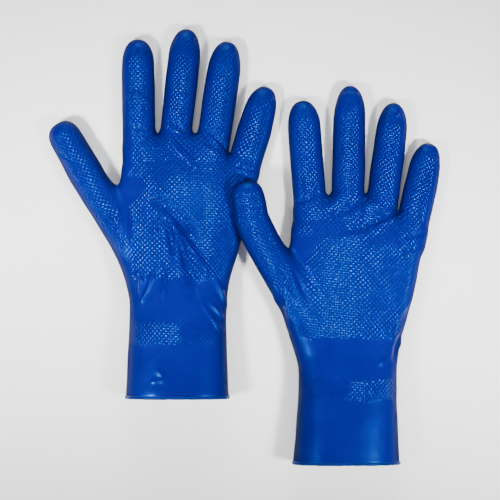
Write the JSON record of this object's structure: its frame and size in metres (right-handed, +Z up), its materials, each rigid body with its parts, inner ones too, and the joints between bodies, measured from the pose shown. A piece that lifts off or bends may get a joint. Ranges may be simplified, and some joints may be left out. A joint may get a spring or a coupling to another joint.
{
  "type": "rubber gloves",
  "caption": "Pair of long-cuffed nitrile rubber gloves with a scale-textured hand, lying flat: the left palm up, the right back up with its thumb over the left one.",
  "frame": {"origin": "middle of the pair's footprint, on the table", "axes": "+Z up, away from the table; +Y from the cuffs to the fingertips; +X from the left glove to the right one"},
  "size_m": [0.3114, 0.345, 0.0459],
  "materials": {
    "film": "thin blue nitrile film, semi-gloss, with a raised diamond texture on the hand and a smooth cuff",
    "rolled_rim": "the same blue nitrile, smooth, rolled into a bead"
  },
  "bodies": {
    "left_hand": {"left_palm": "film", "left_wrist_crease": "film", "left_thumb_knuckle_crease": "film", "left_index_knuckle_crease": "film", "left_middle_knuckle_crease": "film", "left_ring_knuckle_crease": "film", "left_little_knuckle_crease": "film"},
    "left_cuff": {"left_cuff": "film", "left_cuff_bead": "rolled_rim"},
    "left_thumb_base": {"left_thumb_lower": "film", "left_thumb_middle_crease": "film"},
    "left_thumb_end": {"left_thumb_tip": "film"},
    "left_index_base": {"left_index_lower": "film", "left_index_middle_crease": "film"},
    "left_index_end": {"left_index_tip": "film"},
    "left_middle_base": {"left_middle_lower": "film", "left_middle_middle_crease": "film"},
    "left_middle_end": {"left_middle_tip": "film"},
    "left_ring_base": {"left_ring_lower": "film", "left_ring_middle_crease": "film"},
    "left_ring_end": {"left_ring_tip": "film"},
    "left_little_base": {"left_little_lower": "film", "left_little_middle_crease": "film"},
    "left_little_end": {"left_little_tip": "film"},
    "right_hand": {"right_palm": "film", "right_wrist_crease": "film", "right_thumb_knuckle_crease": "film", "right_index_knuckle_crease": "film", "right_middle_knuckle_crease": "film", "right_ring_knuckle_crease": "film", "right_little_knuckle_crease": "film"},
    "right_cuff": {"right_cuff": "film", "right_cuff_bead": "rolled_rim"},
    "right_thumb_base": {"right_thumb_lower": "film", "right_thumb_middle_crease": "film"},
    "right_thumb_end": {"right_thumb_tip": "film"},
    "right_index_base": {"right_index_lower": "film", "right_index_middle_crease": "film"},
    "right_index_end": {"right_index_tip": "film"},
    "right_middle_base": {"right_middle_lower": "film", "right_middle_middle_crease": "film"},
    "right_middle_end": {"right_middle_tip": "film"},
    "right_ring_base": {"right_ring_lower": "film", "right_ring_middle_crease": "film"},
    "right_ring_end": {"right_ring_tip": "film"},
    "right_little_base": {"right_little_lower": "film", "right_little_middle_crease": "film"},
    "right_little_end": {"right_little_tip": "film"}
  },
  "joints": [
    {"name": "left_wrist_bend", "type": "hinge", "parent": "left_hand", "child": "left_cuff", "pos_m": [-0.05349, -0.03953, 0.01607], "axis": [-1, 0, 0], "range_deg": [0, 60], "stiffness_Nm_per_rad": 0.02, "deforming": ["left_wrist_crease"]},
    {"name": "left_thumb_knuckle_bend", "type": "hinge", "parent": "left_hand", "child": "left_thumb_base", "pos_m": [-0.12129, 0.04804, 0.01176], "axis": [0.866, 0.5, 0], "range_deg": [0, 50], "stiffness_Nm_per_rad": 0.002, "deforming": ["left_thumb_knuckle_crease"]},
    {"name": "left_thumb_middle_bend", "type": "hinge", "parent": "left_thumb_base", "child": "left_thumb_end", "pos_m": [-0.13325, 0.06884, 0.01142], "axis": [0.8676, 0.4972, 0], "range_deg": [0, 50], "stiffness_Nm_per_rad": 0.002, "deforming": ["left_thumb_middle_crease"]},
    {"name": "left_index_knuckle_bend", "type": "hinge", "parent": "left_hand", "child": "left_index_base", "pos_m": [-0.085, 0.09848, 0.00982], "axis": [0.9999, 0.01, 0], "range_deg": [0, 60], "stiffness_Nm_per_rad": 0.002, "deforming": ["left_index_knuckle_crease"]},
    {"name": "left_index_middle_bend", "type": "hinge", "parent": "left_index_base", "child": "left_index_end", "pos_m": [-0.08522, 0.12047, 0.00955], "axis": [0.9999, 0.01, 0], "range_deg": [0, 80], "stiffness_Nm_per_rad": 0.002, "deforming": ["left_index_middle_crease"]},
    {"name": "left_middle_knuckle_bend", "type": "hinge", "parent": "left_hand", "child": "left_middle_base", "pos_m": [-0.05463, 0.09991, 0.0099], "axis": [0.994, -0.1093, 0], "range_deg": [0, 60], "stiffness_Nm_per_rad": 0.002, "deforming": ["left_middle_knuckle_crease"]},
    {"name": "left_middle_middle_bend", "type": "hinge", "parent": "left_middle_base", "child": "left_middle_end", "pos_m": [-0.05201, 0.12377, 0.0096], "axis": [0.994, -0.1093, 0], "range_deg": [0, 80], "stiffness_Nm_per_rad": 0.002, "deforming": ["left_middle_middle_crease"]},
    {"name": "left_ring_knuckle_bend", "type": "hinge", "parent": "left_hand", "child": "left_ring_base", "pos_m": [-0.02386, 0.09719, 0.0099], "axis": [0.9891, -0.147, 0], "range_deg": [0, 60], "stiffness_Nm_per_rad": 0.002, "deforming": ["left_ring_knuckle_crease"]},
    {"name": "left_ring_middle_bend", "type": "hinge", "parent": "left_ring_base", "child": "left_ring_end", "pos_m": [-0.02048, 0.11994, 0.00959], "axis": [0.9891, -0.147, 0], "range_deg": [0, 80], "stiffness_Nm_per_rad": 0.002, "deforming": ["left_ring_middle_crease"]},
    {"name": "left_little_knuckle_bend", "type": "hinge", "parent": "left_hand", "child": "left_little_base", "pos_m": [0.00402, 0.08231, 0.00969], "axis": [0.9603, -0.2788, 0], "range_deg": [0, 60], "stiffness_Nm_per_rad": 0.002, "deforming": ["left_little_knuckle_crease"]},
    {"name": "left_little_middle_bend", "type": "hinge", "parent": "left_little_base", "child": "left_little_end", "pos_m": [0.00932, 0.10055, 0.0092], "axis": [0.9603, -0.2788, 0], "range_deg": [0, 80], "stiffness_Nm_per_rad": 0.002, "deforming": ["left_little_middle_crease"]},
    {"name": "right_wrist_bend", "type": "hinge", "parent": "right_hand", "child": "right_cuff", "pos_m": [0.08036, -0.08853, 0.01662], "axis": [-1, 0, 0], "range_deg": [0, 60], "stiffness_Nm_per_rad": 0.02, "deforming": ["right_wrist_crease"]},
    {"name": "right_thumb_knuckle_bend", "type": "hinge", "parent": "right_hand", "child": "right_thumb_base", "pos_m": [0.0133, 0.00003, 0.02419], "axis": [0.9528, 0.3035, 0], "range_deg": [0, 50], "stiffness_Nm_per_rad": 0.002, "deforming": ["right_thumb_knuckle_crease"]},
    {"name": "right_thumb_middle_bend", "type": "hinge", "parent": "right_thumb_base", "child": "right_thumb_end", "pos_m": [0.00733, 0.02181, 0.02854], "axis": [0.9709, 0.2396, 0], "range_deg": [0, 50], "stiffness_Nm_per_rad": 0.002, "deforming": ["right_thumb_middle_crease"]},
    {"name": "right_index_knuckle_bend", "type": "hinge", "parent": "right_hand", "child": "right_index_base", "pos_m": [0.04983, 0.05067, 0.0098], "axis": [0.997, 0.0768, 0], "range_deg": [0, 60], "stiffness_Nm_per_rad": 0.002, "deforming": ["right_index_knuckle_crease"]},
    {"name": "right_index_middle_bend", "type": "hinge", "parent": "right_index_base", "child": "right_index_end", "pos_m": [0.0483, 0.07061, 0.00955], "axis": [0.997, 0.0768, 0], "range_deg": [0, 80], "stiffness_Nm_per_rad": 0.002, "deforming": ["right_index_middle_crease"]},
    {"name": "right_middle_knuckle_bend", "type": "hinge", "parent": "right_hand", "child": "right_middle_base", "pos_m": [0.08151, 0.0505, 0.00992], "axis": [0.9997, -0.0238, 0], "range_deg": [0, 60], "stiffness_Nm_per_rad": 0.002, "deforming": ["right_middle_knuckle_crease"]},
    {"name": "right_middle_middle_bend", "type": "hinge", "parent": "right_middle_base", "child": "right_middle_end", "pos_m": [0.08213, 0.07649, 0.00961], "axis": [0.9997, -0.0238, 0], "range_deg": [0, 80], "stiffness_Nm_per_rad": 0.002, "deforming": ["right_middle_middle_crease"]},
    {"name": "right_ring_knuckle_bend", "type": "hinge", "parent": "right_hand", "child": "right_ring_base", "pos_m": [0.11054, 0.04901, 0.00987], "axis": [0.9918, -0.1278, 0], "range_deg": [0, 60], "stiffness_Nm_per_rad": 0.002, "deforming": ["right_ring_knuckle_crease"]},
    {"name": "right_ring_middle_bend", "type": "hinge", "parent": "right_ring_base", "child": "right_ring_end", "pos_m": [0.11335, 0.07083, 0.00958], "axis": [0.9918, -0.1278, 0], "range_deg": [0, 80], "stiffness_Nm_per_rad": 0.002, "deforming": ["right_ring_middle_crease"]},
    {"name": "right_little_knuckle_bend", "type": "hinge", "parent": "right_hand", "child": "right_little_base", "pos_m": [0.13704, 0.03654, 0.00969], "axis": [0.977, -0.2131, 0], "range_deg": [0, 60], "stiffness_Nm_per_rad": 0.002, "deforming": ["right_little_knuckle_crease"]},
    {"name": "right_little_middle_bend", "type": "hinge", "parent": "right_little_base", "child": "right_little_end", "pos_m": [0.14109, 0.0551, 0.0092], "axis": [0.977, -0.2131, 0], "range_deg": [0, 80], "stiffness_Nm_per_rad": 0.002, "deforming": ["right_little_middle_crease"]},
    {"name": "pair_slide", "type": "slide", "parent": "left_hand", "child": "right_hand", "axis": [1, 0, 0], "range_m": [0, 0.06]}
  ]
}
